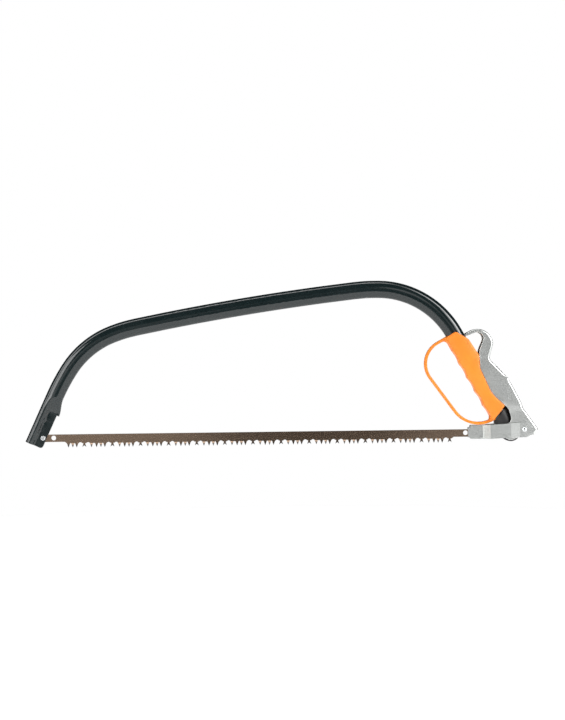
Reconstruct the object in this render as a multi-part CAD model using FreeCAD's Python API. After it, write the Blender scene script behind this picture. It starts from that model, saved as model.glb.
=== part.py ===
"""Bow saw: bent oval tube frame, toothed blade, tension lever with its link, and a guarded grip.

Working axes: X runs along the blade from the nose to the grip, Z is up from the teeth to the bow,
and Y is the saw's thickness. Lengths are in millimetres. The blade's front hole is the working
origin, and the finished pieces are moved together so that their common box is centred on zero.
"""
import FreeCAD, Part
import math
import os

Vector = FreeCAD.Vector

# ---------------------------------------------------------------- driving dimensions
HOLE_SPACING = 597.0          # blade, from its front pin hole to its rear hook hole
LEG_FRONT_ANGLE = 65.4        # front leg above the blade, degrees
LEG_REAR_ANGLE = 61.0         # rear leg above the blade, degrees

TUBE_HEIGHT = 24.0            # oval tube, across the bow's plane
TUBE_WIDTH = 15.5             # oval tube, through the saw's thickness
TUBE_WALL = 1.2
TUBE_BACKSET = 8.6            # front leg's centre line, ahead of the blade's front hole
FRONT_LEG = 60.0              # straight part of the front leg, above the blade's front hole
FRONT_BENDS = ((275.0, 8.4), (125.0, 36.5), (205.0, 9.2))   # radius and turn of each bend
CROWN_TURN = 5.1              # slight crown of the top bar, degrees
REAR_ENTRY = (260.0, 7.6)     # softer start of the rear bend: radius and turn
REAR_BEND_RADIUS = 121.0

NOSE_BELOW = 14.0             # nose end below the blade's front hole, along the leg
NOSE_PRESSED = 36.0           # pressed length of the nose above the hole
NOSE_BEAD_RADIUS = 6.4
NOSE_FLANGE_REACH = 4.3       # flange edge behind the blade's front hole
NOSE_FOLD_REACH = 7.8         # fold edge behind the hole, above the pressed length
NOSE_FLANGE_HALF = 1.8        # half thickness of the flattened double wall
NOSE_CORNER = 3.5
NOSE_LEAD = 16.0              # part of the pressed length that is shaped together with the taper

BLADE_THICKNESS = 0.9
BLADE_ABOVE = 4.8             # back edge above the hole centres
BLADE_BELOW = 5.5             # toothless end's lower edge below the hole centres
BLADE_HOLE = 6.5
SPARE_HOLE_STEP = 14.3        # spare hole, in from each end's working hole
BLADE_END = 6.5               # blade past its working hole
GULLET_DEPTH = 7.6            # gullet line below the hole centres
TOOTH_DEPTH = 13.2            # tooth tips below the hole centres
TOOTH_BASE = 5.0
TOOTH_TIP = 0.3               # flat left at a tooth's point
TOOTH_ROOT = 0.8              # tooth rooted in the plate above the gullet line
TOOTH_SET = 5.0               # lean of each tooth to its own side, degrees
RAKER_DEPTH = 12.7
RAKER_SPREAD = 5.4            # across a raker's two points
RAKER_WAIST = 3.0
RAKER_NOTCH = 2.0             # notch between a raker's points
RAKER_NECK = 1.2              # narrowest place of a raker above the middle of its height
BLADE_RAMP_FRONT = 2.5        # slope from the toothless end to the gullet line
BLADE_RAMP_REAR = 1.5
RAKER_PITCH = 38.8
FIRST_RAKER = 56.4            # first raker behind the front hole
TOOTHLESS_REAR = 30.0         # least bare length ahead of the rear hook hole
TOOTH_STEPS = (9.9, 17.0, 22.9, 28.4)     # teeth after each raker
RAKER_GULLET_RADIUS = 2.7
RAKER_GULLET_STEP = 5.3       # deep gullets before and after each raker
RAKER_GULLET_RISE = 1.3       # deep gullets above the common gullet line

SCREW_RADIUS = 2.6            # shoulder of the blade screw
SCREW_HEAD_RADIUS = 3.3
SCREW_HEAD_HEIGHT = 1.8
SCREW_THREAD_RADIUS = 2.0
SCREW_SOCKET = 2.5            # across flats of the hexagon socket
SCREW_SPARE = 1.0             # thread past the nut
SCREW_DOME = 0.9              # rounding of the head's edge
SCREW_SOCKET_FLOOR = 0.54     # metal under the socket, in the head
WASHER_RADIUS = 4.5
WASHER_THICKNESS = 0.8
NUT_FLATS = 7.0
NUT_HEIGHT = 3.2
NUT_CHAMFER = 1.4             # height of the turned-down corners

FULCRUM = (46.8, 1.4)         # lever fulcrum behind and above the blade's rear hook hole
FULCRUM_RADIUS = 3.0
FULCRUM_HEAD_RADIUS = 4.8
BUSH_RADIUS = 4.5
CAP_WALL = 1.4
CAP_GAP = 0.3                 # seam between the end cap and the grip
BUSH_PROUD = 0.1              # bush past the cap's side
THRUST_STEP = 0.15            # thrust washer clear of the cap's side
THRUST_WASHER = 2.05          # thickness of each thrust washer
THRUST_RIM = 2.5              # thrust washer past the bush

LINK_CLEAR = 0.9              # link spacer's swing outside the end cap
LINK_ANGLE = 9.3              # link rivet above the fulcrum, as seen along the blade, degrees
LINK_RADIUS = 2.4
LINK_HEAD_RADIUS = 3.4
LINK_HEAD_HEIGHT = 1.5
SPACER_RADIUS = 4.2
LINK_WASHER = 2.4             # thickness of each washer between lever and link, with its play
LINK_WASHER_RIM = 2.3         # link washer past the spacer

LEVER_SHEET = 1.5
LEVER_PLAY = 0.5              # lever's cheeks clear of the grip's tongue
FLARE_TOP = 42.5              # flare between these heights above the hole centres
FLARE_BOTTOM = 26.5
LEVER_LOBE = 11.2             # round lower lobe of the cheeks, about the fulcrum
HOOK_TIP_GAP = 1.0            # hook's tip behind the tube
THUMB_RIBS = 7
THUMB_RIB_PITCH = 4.0
THUMB_RIB_RADIUS = 0.9
THUMB_RIB_TOP = (90.0, 27.1)  # first rib: up the leg, and behind its centre line
THUMB_RIB_SLOPE = 0.24        # ribs move back as they go down

STRAP = 1.6                   # sheet thickness of the blade link
STRAP_FRONT_INSIDE = 2.0      # half gap inside the link's front plates
STRAP_EYE_RADIUS = 10.3
STRAP_NECK = (-6.2, 7.7)      # lower and upper edge of the folded neck
STRAP_PLATE_LOW = -8.5        # lower edge of the front plates
STRAP_FRONT = 11.0            # fold ahead of the rear hook hole
STRAP_SHOULDER = 8.4          # where the neck widens into the plates, ahead of the hole
STRAP_JOG = (9.3, 18.3)       # first outward step, behind the hole
STRAP_STEP = (46.6, 58.3)     # second outward step, behind the hole
HOOK_RADIUS = 2.9
HOOK_DIMPLE = 0.8             # pressed dimple inside the hook's radius
HOOK_SINK = 0.5               # hook boss sunk in the plate
HOOK_SKIN = 0.1               # metal left between the boss and its dimple
STRAP_TOP = 12.0              # rear end of the link's highest part, behind the hole
STRAP_LOW = 10.0              # rear end of its lowest part, behind the hole
STRAP_NOTCH_ROUND = 0.5       # corners of the neck
STRAP_CORNER_HIGH = 1.0
STRAP_CORNER_LOW = 1.7
STRAP_BEND = 0.2              # shift of the second step's inner face
SLOT_TOP = 1.6                # slot's closed end above the blade's back

GRIP_SIDE_WALL = 5.25         # grip beside the tube
GRIP_SKIN = 1.15              # grip beside the tube, inside the lever
TONGUE_INSET = 3.0            # the tongue's step in from the lever's silhouette
GRIP_TOP = 157.0              # top of the grip and guard, up the rear leg from the fulcrum
GRIP_FRONT_WALL = 3.0         # finger face ahead of the tube
GRIP_BACK_WALL = 2.5          # back face behind the tube
GRIP_OVAL = 1.7               # fullness of the grip's rounded sides
GROOVE_COUNT = 5
GROOVE_PITCH = 22.0
GROOVE_DEPTH = 1.7
FIRST_GROOVE = 27.0
FOOT_FRONT = 23.8             # slanted foot, up the leg: at the finger face
FOOT_MIDDLE = 28.0            # on the centre line
FOOT_BACK = 34.6              # at the lever's cheek
FOOT_RUN = 24.6               # from the finger face to the lever's cheek
GUARD_REACH = 61.0            # outside of the knuckle guard ahead of the leg's centre line
GUARD_STRAP = 3.8
GUARD_HALF = 6.0
GUARD_LEAN = (11.4, -4.6)     # outer line's lower and upper end, in from the full reach
GUARD_BOTTOM = 24.0
GUARD_TOP_RADIUS = 35.0
GUARD_BOTTOM_RADIUS = 42.0
GUARD_TOP_FILLET = 5.5        # inside corner between guard and palm
GUARD_FOOT_FILLET = 4.0

RUNNING = 0.05                # radial clearance of pins in their holes
SEAT = 0.05                   # clearance of fixed pieces on each other
MOVING_GAP = 0.4              # clearance between pieces that swing past each other
PAST = 1.0                    # cutting tools reach this far past the material
REACH = 200.0                 # half size of tools that only have to be larger than the saw's parts
HOOK_GAP = 0.15               # clearance of the blade's faces in slot and hook

# ---------------------------------------------------------------- places worked out from them
LEG_UP = Vector(math.cos(math.radians(LEG_FRONT_ANGLE)), 0, math.sin(math.radians(LEG_FRONT_ANGLE)))
LEG_IN = Vector(LEG_UP.z, 0, -LEG_UP.x)
REAR_UP = Vector(-math.cos(math.radians(LEG_REAR_ANGLE)), 0, math.sin(math.radians(LEG_REAR_ANGLE)))
REAR_OUT = Vector(REAR_UP.z, 0, -REAR_UP.x)
HOOK = Vector(HOLE_SPACING, 0, 0)
PIVOT = Vector(HOLE_SPACING + FULCRUM[0], 0, FULCRUM[1])
CAP_RADIUS = TUBE_HEIGHT / 2 + CAP_WALL
CAP_HALF = TUBE_WIDTH / 2 + CAP_WALL
LINK_THROW = CAP_RADIUS + SPACER_RADIUS + LINK_CLEAR
LINK = PIVOT + Vector(math.cos(math.radians(LINK_ANGLE)), 0, math.sin(math.radians(LINK_ANGLE))) * LINK_THROW
GRIP_HALF = TUBE_WIDTH / 2 + GRIP_SIDE_WALL
GRIP_TONGUE_HALF = TUBE_WIDTH / 2 + GRIP_SKIN
GRIP_FRONT = TUBE_HEIGHT / 2 + GRIP_FRONT_WALL
GRIP_BACK = TUBE_HEIGHT / 2 + GRIP_BACK_WALL
LEVER_INSIDE = GRIP_TONGUE_HALF + LEVER_PLAY
LEVER_FLARE_INSIDE = CAP_HALF + THRUST_STEP + THRUST_WASHER + RUNNING
LEVER_HALF = LEVER_FLARE_INSIDE + LEVER_SHEET
EYE_INSIDE = LEVER_HALF + MOVING_GAP + LINK_WASHER
SLOT_HALF = BLADE_THICKNESS / 2 + HOOK_GAP
RAKER_COUNT = int((HOLE_SPACING - TOOTHLESS_REAR - FIRST_RAKER) / RAKER_PITCH) + 1
Y_AXIS = Vector(0, 1, 0)


def front_point(along, inward):
    """Point beside the front leg: along it from the blade's front hole, and in from that hole."""
    return LEG_UP * along + LEG_IN * inward


def rear_point(up, out):
    """Point beside the rear leg: up it from the fulcrum, and out behind its centre line."""
    return PIVOT + REAR_UP * up + REAR_OUT * out


# ---------------------------------------------------------------- outline helpers
def rounded_wire(corners):
    """Closed wire through (point, radius) corners, each rounded by a tangent arc."""
    joints = []
    count = len(corners)
    for index, (point, radius) in enumerate(corners):
        before = (corners[index - 1][0] - point).normalize()
        after = (corners[(index + 1) % count][0] - point).normalize()
        half = before.getAngle(after) / 2
        if radius <= 0:
            joints.append((point, None, point))
            continue
        reach = radius / math.tan(half)
        middle = (before + after).normalize() * (radius / math.sin(half) - radius)
        joints.append((point + before * reach, point + middle, point + after * reach))
    edges = []
    for index, (start, middle, end) in enumerate(joints):
        if middle is not None:
            edges.append(Part.Arc(start, middle, end).toShape())
        following = joints[(index + 1) % count][0]
        if end.distanceToPoint(following) > 1e-6:
            edges.append(Part.LineSegment(end, following).toShape())
    return Part.Wire(edges)


def inset_corners(corners, inset):
    """The same corners moved inwards by the inset, for an outline listed clockwise in the X-Z view."""
    moved = []
    count = len(corners)
    for index, (point, radius) in enumerate(corners):
        before = (point - corners[index - 1][0]).normalize()
        after = (corners[(index + 1) % count][0] - point).normalize()
        inward_before = Vector(before.z, 0, -before.x)
        inward_after = Vector(after.z, 0, -after.x)
        shift = (inward_before + inward_after) * (inset / (1 + inward_before.dot(inward_after)))
        turn = before.x * after.z - before.z * after.x
        moved.append((point + shift, max(0.0, radius - inset) if turn < 0 else radius + inset))
    return moved


def slab(wire, half):
    """Solid of a flat X-Z outline, reaching the same half thickness to both sides."""
    return Part.Face(wire).translated(Y_AXIS * -half).extrude(Y_AXIS * (2 * half))


def layer(wire, low, high):
    """Solid of a flat X-Z outline between two Y planes."""
    return Part.Face(wire).translated(Y_AXIS * low).extrude(Y_AXIS * (high - low))


def pin(centre, radius, low, high):
    """Cylinder along Y between two Y planes, through a point of the X-Z plane."""
    return Part.makeCylinder(radius, high - low, centre + Y_AXIS * low, Y_AXIS)


def cone(centre, start_radius, end_radius, low, high):
    """Cone along Y between two Y planes, through a point of the X-Z plane."""
    return Part.makeCone(start_radius, end_radius, high - low, centre + Y_AXIS * low, Y_AXIS)


def one_solid(shape):
    """The single clean solid of a boolean result."""
    return shape.removeSplitter().Solids[0]


# ---------------------------------------------------------------- frame tube
SECTION_POINTS = 48
TAPER_STEPS = 6
SEAM_STEPS = 5                # the section curve starts this many points round from its back


def leg_section(along, press, inset):
    """Closed tube section across the front leg: an oval, pressed by 0 to 1 into bead and flange."""
    front = -TUBE_BACKSET - TUBE_HEIGHT / 2 + inset
    oval_back = -TUBE_BACKSET + TUBE_HEIGHT / 2 - inset
    back = oval_back + press * (NOSE_FOLD_REACH - inset - oval_back)
    middle = (front + back) / 2
    reach = (back - front) / 2
    points = []
    for index in range(SECTION_POINTS):
        angle = 2 * math.pi * (index + SEAM_STEPS) / SECTION_POINTS
        inward = middle + reach * math.cos(angle)
        oval = (TUBE_WIDTH / 2 - inset) * abs(math.sin(angle))
        half = (1 - press) * oval + press * pressed_half(inward, front, back, inset)
        side = 1 if math.sin(angle) >= 0 else -1
        points.append(front_point(along, inward) + Y_AXIS * (side * half))
    curve = Part.BSplineCurve()
    curve.interpolate(Points=points, PeriodicFlag=True)
    return Part.Wire(curve.toShape())


def pressed_half(inward, front, back, inset):
    """Half thickness of the pressed section: a round bead in front of a flat double wall."""
    bead_radius = NOSE_BEAD_RADIUS - inset
    from_bead = inward - (front + bead_radius)
    bead = math.sqrt(max(0.0, bead_radius ** 2 - from_bead ** 2))
    if from_bead <= 0:
        return bead
    flange = NOSE_FLANGE_HALF - inset
    into_edge = max(0.0, inward - (back - flange))
    return max(bead, math.sqrt(max(0.0, flange ** 2 - into_edge ** 2)))


def route_edges(past_fulcrum):
    """Centre line from the front leg over the bow to the fulcrum, as tangent runs and arcs.

    The top bar's crown radius and the rear leg's length close the line on the fulcrum.
    """
    turned = sum(turn for radius, turn in FRONT_BENDS) + CROWN_TURN + REAR_ENTRY[1]
    rear_turn = LEG_FRONT_ANGLE + LEG_REAR_ANGLE - turned
    bends = list(FRONT_BENDS) + [(None, CROWN_TURN), REAR_ENTRY, (REAR_BEND_RADIUS, rear_turn)]
    start = front_point(FRONT_LEG, -TUBE_BACKSET)
    heading = math.radians(LEG_FRONT_ANGLE)
    fixed = Vector(start)
    chords = []
    for radius, turn in bends:
        half_turn = math.radians(turn) / 2
        unit_chord = Vector(math.cos(heading - half_turn), 0, math.sin(heading - half_turn))
        chords.append((unit_chord * (2 * math.sin(half_turn)), heading, radius, turn))
        if radius is not None:
            fixed += chords[-1][0] * radius
        heading -= math.radians(turn)
    crown = next(chord for chord, start_heading, radius, turn in chords if radius is None)
    down = Vector(math.cos(heading), 0, math.sin(heading))
    gap = PIVOT - fixed
    cross = crown.x * down.z - crown.z * down.x
    crown_radius = (gap.x * down.z - gap.z * down.x) / cross
    rear_leg = (crown.x * gap.z - crown.z * gap.x) / cross
    edges = []
    point = start
    for chord, start_heading, radius, turn in chords:
        size = crown_radius if radius is None else radius
        end = point + chord * size
        centre = point + Vector(math.sin(start_heading), 0, -math.cos(start_heading)) * size
        middle = centre + ((point + end) * 0.5 - centre).normalize() * size
        edges.append(Part.Arc(point, middle, end).toShape())
        point = end
    edges.append(Part.LineSegment(point, point + down * (rear_leg + past_fulcrum)).toShape())
    return edges


def tube_body(inset, beyond):
    """Outside of the tube, or its cavity when inset by the wall, longer by beyond at both ends."""
    nose = Part.makeLoft([leg_section(-NOSE_BELOW - beyond, 1, inset),
                          leg_section(NOSE_PRESSED - NOSE_LEAD, 1, inset)], True, True)
    sections = [leg_section(NOSE_PRESSED - NOSE_LEAD, 1, inset),
                leg_section(NOSE_PRESSED - NOSE_LEAD / 2, 1, inset)]
    for index in range(TAPER_STEPS + 1):
        share = index / TAPER_STEPS
        along = NOSE_PRESSED + (FRONT_LEG - NOSE_PRESSED) * share
        sections.append(leg_section(along, 1 - share * share * (3 - 2 * share), inset))
    taper = Part.makeLoft(sections, True, False)
    path = Part.Wire(route_edges(TUBE_HEIGHT / 2 + beyond))
    bow = path.makePipeShell([leg_section(FRONT_LEG, 0, inset)], True, False)
    return nose.fuse([taper, bow])


def rear_end_trim(radius):
    """Everything past a round end of the given radius about the fulcrum."""
    reach = radius * 3
    past = slab(rounded_wire([(rear_point(0, -reach), 0), (rear_point(-reach, -reach), 0),
                              (rear_point(-reach, reach), 0), (rear_point(0, reach), 0)]), reach)
    return past.cut(pin(PIVOT, radius, -2 * reach, 2 * reach))


def make_frame_tube():
    """The whole bow: one tube, bent twice, flattened and slotted at the nose."""
    far = NOSE_FOLD_REACH + TUBE_HEIGHT
    below = -NOSE_BELOW - PAST
    edge = NOSE_FLANGE_REACH
    start = -NOSE_BELOW
    trim = rounded_wire([(front_point(below, edge), 0), (front_point(below, far), 0),
                         (front_point(NOSE_PRESSED, far), 0), (front_point(NOSE_PRESSED, edge), 0)])
    corner = rounded_wire([(front_point(start - PAST, edge + PAST), 0),
                           (front_point(start - PAST, edge - NOSE_CORNER), 0),
                           (front_point(start + NOSE_CORNER, edge - NOSE_CORNER), 0),
                           (front_point(start + NOSE_CORNER, edge + PAST), 0)])
    rounding = pin(front_point(start + NOSE_CORNER, edge - NOSE_CORNER), NOSE_CORNER,
                   -2 * TUBE_WIDTH, 2 * TUBE_WIDTH)
    outside = tube_body(0, 0).cut(rear_end_trim(TUBE_HEIGHT / 2))
    body = outside.cut(tube_body(TUBE_WALL, PAST))
    for tool in (slab(trim, TUBE_WIDTH), slab(corner, TUBE_WIDTH).cut(rounding),
                 pin(Vector(0, 0, 0), SCREW_RADIUS + RUNNING, -TUBE_WIDTH, TUBE_WIDTH),
                 pin(PIVOT, BUSH_RADIUS + SEAT, -TUBE_WIDTH, TUBE_WIDTH)):
        body = body.cut(tool)
    return one_solid(body)


# ---------------------------------------------------------------- blade and its front screw
def tooth_outlines():
    """Outlines of the pointed teeth, in order along the blade, as lists of (x, z) corners."""
    places = [FIRST_RAKER - RAKER_PITCH + step for step in TOOTH_STEPS[1:]]
    for raker in range(RAKER_COUNT - 1):
        places += [FIRST_RAKER + raker * RAKER_PITCH + step for step in TOOTH_STEPS]
    half = TOOTH_BASE / 2
    tip = TOOTH_TIP / 2
    root = TOOTH_ROOT - GULLET_DEPTH
    return [[(x - half, root), (x - tip, -TOOTH_DEPTH), (x + tip, -TOOTH_DEPTH), (x + half, root)]
            for x in places]


def raker_outlines():
    """Outlines of the narrow-waisted rakers with two small splayed points each."""
    waist = RAKER_WAIST / 2
    spread = RAKER_SPREAD / 2
    notch = RAKER_DEPTH - RAKER_NOTCH
    narrow = (GULLET_DEPTH + RAKER_DEPTH) / 2 - RAKER_NECK
    outlines = []
    for raker in range(RAKER_COUNT):
        x = FIRST_RAKER + raker * RAKER_PITCH
        outlines.append([(x - waist, -BLADE_BELOW), (x - waist, -narrow), (x - spread, -RAKER_DEPTH),
                         (x, -notch), (x + spread, -RAKER_DEPTH), (x + waist, -narrow),
                         (x + waist, -BLADE_BELOW)])
    return outlines


def blade_plate(corners):
    """Blade-thick solid of an (x, z) polygon."""
    return slab(rounded_wire([(Vector(x, 0, z), 0) for x, z in corners]), BLADE_THICKNESS / 2)


def make_blade():
    """Flat blade with four holes, alternately set teeth in groups of four, and rakers between."""
    last = FIRST_RAKER + (RAKER_COUNT - 1) * RAKER_PITCH
    first = FIRST_RAKER - RAKER_PITCH + TOOTH_STEPS[1]
    toothed = (first - TOOTH_BASE, last + RAKER_SPREAD)
    strip = blade_plate([(-BLADE_END, -BLADE_BELOW), (-BLADE_END, BLADE_ABOVE),
                         (HOLE_SPACING + BLADE_END, BLADE_ABOVE),
                         (HOLE_SPACING + BLADE_END, -BLADE_BELOW), (toothed[1], -BLADE_BELOW),
                         (toothed[1] - BLADE_RAMP_REAR, -GULLET_DEPTH),
                         (toothed[0] + BLADE_RAMP_FRONT, -GULLET_DEPTH),
                         (toothed[0], -BLADE_BELOW)])
    gullet_z = RAKER_GULLET_RISE - GULLET_DEPTH - RAKER_GULLET_RADIUS
    gullets = []
    for raker in range(RAKER_COUNT):
        for side in (-1, 1):
            x = FIRST_RAKER + raker * RAKER_PITCH + side * RAKER_GULLET_STEP
            gullets.append(pin(Vector(x, 0, gullet_z), RAKER_GULLET_RADIUS, -TUBE_WIDTH, TUBE_WIDTH))
    strip = strip.cut(gullets)
    teeth = [blade_plate(corners) for corners in raker_outlines()]
    for index, corners in enumerate(tooth_outlines()):
        tooth = blade_plate(corners)
        lean = TOOTH_SET if index % 2 else -TOOTH_SET
        tooth.rotate(Vector(0, 0, TOOTH_ROOT - GULLET_DEPTH), Vector(1, 0, 0), lean)
        teeth.append(tooth)
    body = strip.fuse(teeth)
    for x in (0, SPARE_HOLE_STEP, HOLE_SPACING - SPARE_HOLE_STEP, HOLE_SPACING):
        body = body.cut(pin(Vector(x, 0, 0), BLADE_HOLE / 2, -TUBE_WIDTH, TUBE_WIDTH))
    return one_solid(body)


def hexagon(flats, low, high):
    """Hexagonal prism along Y on the blade screw's axis."""
    corners = []
    for index in range(6):
        angle = math.radians(60 * index + 30)
        reach = flats / math.sqrt(3)
        corners.append((Vector(reach * math.cos(angle), 0, reach * math.sin(angle)), 0))
    return layer(rounded_wire(corners), low, high)


def make_blade_screw():
    """Shouldered screw through the nose and the blade, with a low domed socket head."""
    face = NOSE_FLANGE_HALF
    end = face + WASHER_THICKNESS + NUT_HEIGHT + SCREW_SPARE
    head = pin(Vector(0, 0, 0), SCREW_HEAD_RADIUS, -face - SCREW_HEAD_HEIGHT, -face)
    rim = head.Edges[0] if head.Edges[0].CenterOfMass.y < head.Edges[-1].CenterOfMass.y else head.Edges[-1]
    head = head.makeFillet(min(SCREW_DOME, SCREW_HEAD_HEIGHT / 2), [rim])
    socket = hexagon(SCREW_SOCKET, -face - SCREW_HEAD_HEIGHT - PAST, -face - SCREW_SOCKET_FLOOR)
    shoulder = pin(Vector(0, 0, 0), SCREW_RADIUS, -face, face)
    thread = pin(Vector(0, 0, 0), SCREW_THREAD_RADIUS, face, end)
    return one_solid(head.fuse([shoulder, thread]).cut(socket))


def make_blade_screw_washer():
    """Flat washer between the nose and the nut."""
    face = NOSE_FLANGE_HALF
    hole = pin(Vector(0, 0, 0), SCREW_THREAD_RADIUS + SEAT, 0, 2 * TUBE_WIDTH)
    return pin(Vector(0, 0, 0), WASHER_RADIUS, face, face + WASHER_THICKNESS).cut(hole)


def make_blade_screw_nut():
    """Hexagon nut with its outer corners turned down."""
    low = NOSE_FLANGE_HALF + WASHER_THICKNESS
    high = low + NUT_HEIGHT
    shoulder = high - NUT_CHAMFER
    turned = cone(Vector(0, 0, 0), NUT_FLATS / 2 + 1.5 * NUT_CHAMFER, NUT_FLATS / 2, shoulder, high)
    turned = turned.fuse(pin(Vector(0, 0, 0), NUT_FLATS, low, shoulder))
    hole = pin(Vector(0, 0, 0), SCREW_THREAD_RADIUS + SEAT, 0, 2 * TUBE_WIDTH)
    return one_solid(hexagon(NUT_FLATS, low, high).common(turned).cut(hole))


# ---------------------------------------------------------------- grip, guard and end cap
def grip_corners():
    """Silhouette of the grip's palm body beside the rear leg, clockwise from its upper front."""
    return [(rear_point(GRIP_TOP - 1, -GRIP_FRONT + 1), 3), (rear_point(GRIP_TOP, 2.5), 4),
            (rear_point(139.0, 12.7), 8), (rear_point(110.0, GRIP_BACK), 0),
            (rear_point(36.5, GRIP_BACK), 0), (rear_point(23.5, -GRIP_FRONT - 1.2), 3)]


def guard_corners():
    """Outer line of the knuckle guard, clockwise from its foot."""
    return [(rear_point(GUARD_BOTTOM, 0), 0),
            (rear_point(GUARD_BOTTOM, -GUARD_REACH + GUARD_LEAN[0]), GUARD_BOTTOM_RADIUS),
            (rear_point(GRIP_TOP, -GUARD_REACH + GUARD_LEAN[1]), GUARD_TOP_RADIUS),
            (rear_point(GRIP_TOP, 0), 0)]


def guard_opening():
    """Finger opening between the guard's strap and the grip."""
    foot, low, high, head = [point for point, radius in inset_corners(guard_corners(), GUARD_STRAP)]
    return [(foot, 0), (low, GUARD_BOTTOM_RADIUS - GUARD_STRAP), (high, GUARD_TOP_RADIUS - GUARD_STRAP),
            (head, 0)]


def finger_grooves():
    """Shallow round grooves across the finger face."""
    radius = (GROOVE_PITCH / 2) ** 2 / (2 * GROOVE_DEPTH) + GROOVE_DEPTH / 2
    grooves = []
    for index in range(GROOVE_COUNT):
        up = FIRST_GROOVE + GROOVE_PITCH * (index + 0.5)
        centre = rear_point(up, GROOVE_DEPTH - GRIP_FRONT - radius)
        grooves.append(pin(centre, radius, -2 * GRIP_HALF, 2 * GRIP_HALF))
    return grooves


def corner_filler(corner, along, across, radius):
    """Guard-thick web that rounds a square inside corner."""
    middle = corner + (along + across) * radius
    square = slab(rounded_wire([(corner, 0), (corner + along * radius, 0), (middle, 0),
                                (corner + across * radius, 0)]), GUARD_HALF)
    return square.cut(pin(middle, radius, -2 * GUARD_HALF, 2 * GUARD_HALF))


def guard_fillers():
    """Rounded inside corners between the guard and the palm."""
    top = rear_point(GRIP_TOP - GUARD_STRAP, -GRIP_FRONT)
    foot = rear_point(GUARD_BOTTOM + GUARD_STRAP, -GRIP_FRONT)
    return [corner_filler(top, REAR_UP * -1, REAR_OUT * -1, GUARD_TOP_FILLET),
            corner_filler(foot, REAR_UP, REAR_OUT * -1, GUARD_FOOT_FILLET)]


def leg_bar(half_height, half_width, low, high):
    """Straight oval bar along the rear leg, between two distances up from the fulcrum."""
    across = rear_point(low, half_height)
    oval = Part.Ellipse(across, rear_point(low, 0) + Y_AXIS * half_width, rear_point(low, 0))
    return Part.Face(Part.Wire(oval.toShape())).extrude(REAR_UP * (high - low))


def make_handle_grip():
    """Palm grip and knuckle guard, one moulding on the rear leg."""
    palm = slab(rounded_wire(grip_corners()), 3 * GRIP_HALF)
    palm = palm.common(leg_bar(GRIP_FRONT * GRIP_OVAL, GRIP_HALF, 0, GRIP_TOP + PAST)).cut(finger_grooves())
    guard = slab(rounded_wire(guard_corners()), GUARD_HALF)
    guard = guard.cut(slab(rounded_wire(guard_opening()), 2 * GUARD_HALF))
    guard = guard.cut(slab(rounded_wire(grip_corners()), 2 * GUARD_HALF))
    body = palm.fuse([guard] + guard_fillers())
    recess = slab(rounded_wire(inset_corners(lever_corners(), -MOVING_GAP)), 3 * GRIP_HALF)
    tongue = slab(rounded_wire(inset_corners(lever_corners(), -TONGUE_INSET)), GRIP_TONGUE_HALF)
    body = body.cut(recess.cut(tongue))
    path = Part.Wire(route_edges(TUBE_HEIGHT))
    bore = path.makePipeShell([leg_section(FRONT_LEG, 0, -SEAT)], True, False)
    return one_solid(body.cut(bore).cut(foot_trim(0)))


def foot_trim(offset):
    """Everything below the grip's slanted foot, moved down the leg by the offset."""
    slope = FOOT_RUN / (FOOT_BACK - FOOT_FRONT)
    reach = REACH
    middle = FOOT_MIDDLE - offset
    return slab(rounded_wire([(rear_point(middle - reach / slope, -reach), 0),
                              (rear_point(middle + reach / slope, reach), 0),
                              (rear_point(-reach, reach), 0), (rear_point(-reach, -reach), 0)]),
                reach)


def make_end_cap():
    """Moulded cap over the tube's rear end, from its round end up to the grip's foot."""
    outside = leg_bar(CAP_RADIUS, CAP_HALF, -2 * CAP_RADIUS, 2 * CAP_RADIUS + 20)
    outside = outside.cut(rear_end_trim(CAP_RADIUS)).common(foot_trim(CAP_GAP))
    tube = leg_bar(TUBE_HEIGHT / 2 + SEAT, TUBE_WIDTH / 2 + SEAT, -2 * CAP_RADIUS, 3 * CAP_RADIUS + 20)
    tube = tube.cut(rear_end_trim(TUBE_HEIGHT / 2 + SEAT))
    hole = pin(PIVOT, BUSH_RADIUS + SEAT, -2 * CAP_HALF, 2 * CAP_HALF)
    return one_solid(outside.cut(tube).cut(hole))


# ---------------------------------------------------------------- fulcrum
def make_fulcrum_bush():
    """Steel bush through the tube and the cap, between the two washers."""
    reach = CAP_HALF + BUSH_PROUD
    return pin(PIVOT, BUSH_RADIUS, -reach, reach).cut(pin(PIVOT, FULCRUM_RADIUS + RUNNING, -REACH, REACH))


def make_fulcrum_washers():
    """Two thrust washers between the bush and the lever's cheeks."""
    low = CAP_HALF + THRUST_STEP
    high = LEVER_FLARE_INSIDE - RUNNING
    washers = []
    for side in (-1, 1):
        start, end = sorted((side * low, side * high))
        ring = pin(PIVOT, BUSH_RADIUS + THRUST_RIM, start, end)
        washers.append(ring.cut(pin(PIVOT, FULCRUM_RADIUS + RUNNING, -REACH, REACH)))
    return Part.makeCompound(washers)


def fulcrum_rivet(clearance):
    """Rivet with countersunk heads flush with the cheeks, or its hole when given a clearance."""
    radius = FULCRUM_RADIUS + clearance
    head = FULCRUM_HEAD_RADIUS + clearance
    inner = LEVER_FLARE_INSIDE
    body = pin(PIVOT, radius, -LEVER_HALF, LEVER_HALF)
    left = cone(PIVOT, head, radius, -LEVER_HALF, -inner)
    right = cone(PIVOT, radius, head, inner, LEVER_HALF)
    return body.fuse([left, right])


def make_fulcrum_rivet():
    """The lever's pivot."""
    return one_solid(fulcrum_rivet(0))


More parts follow.
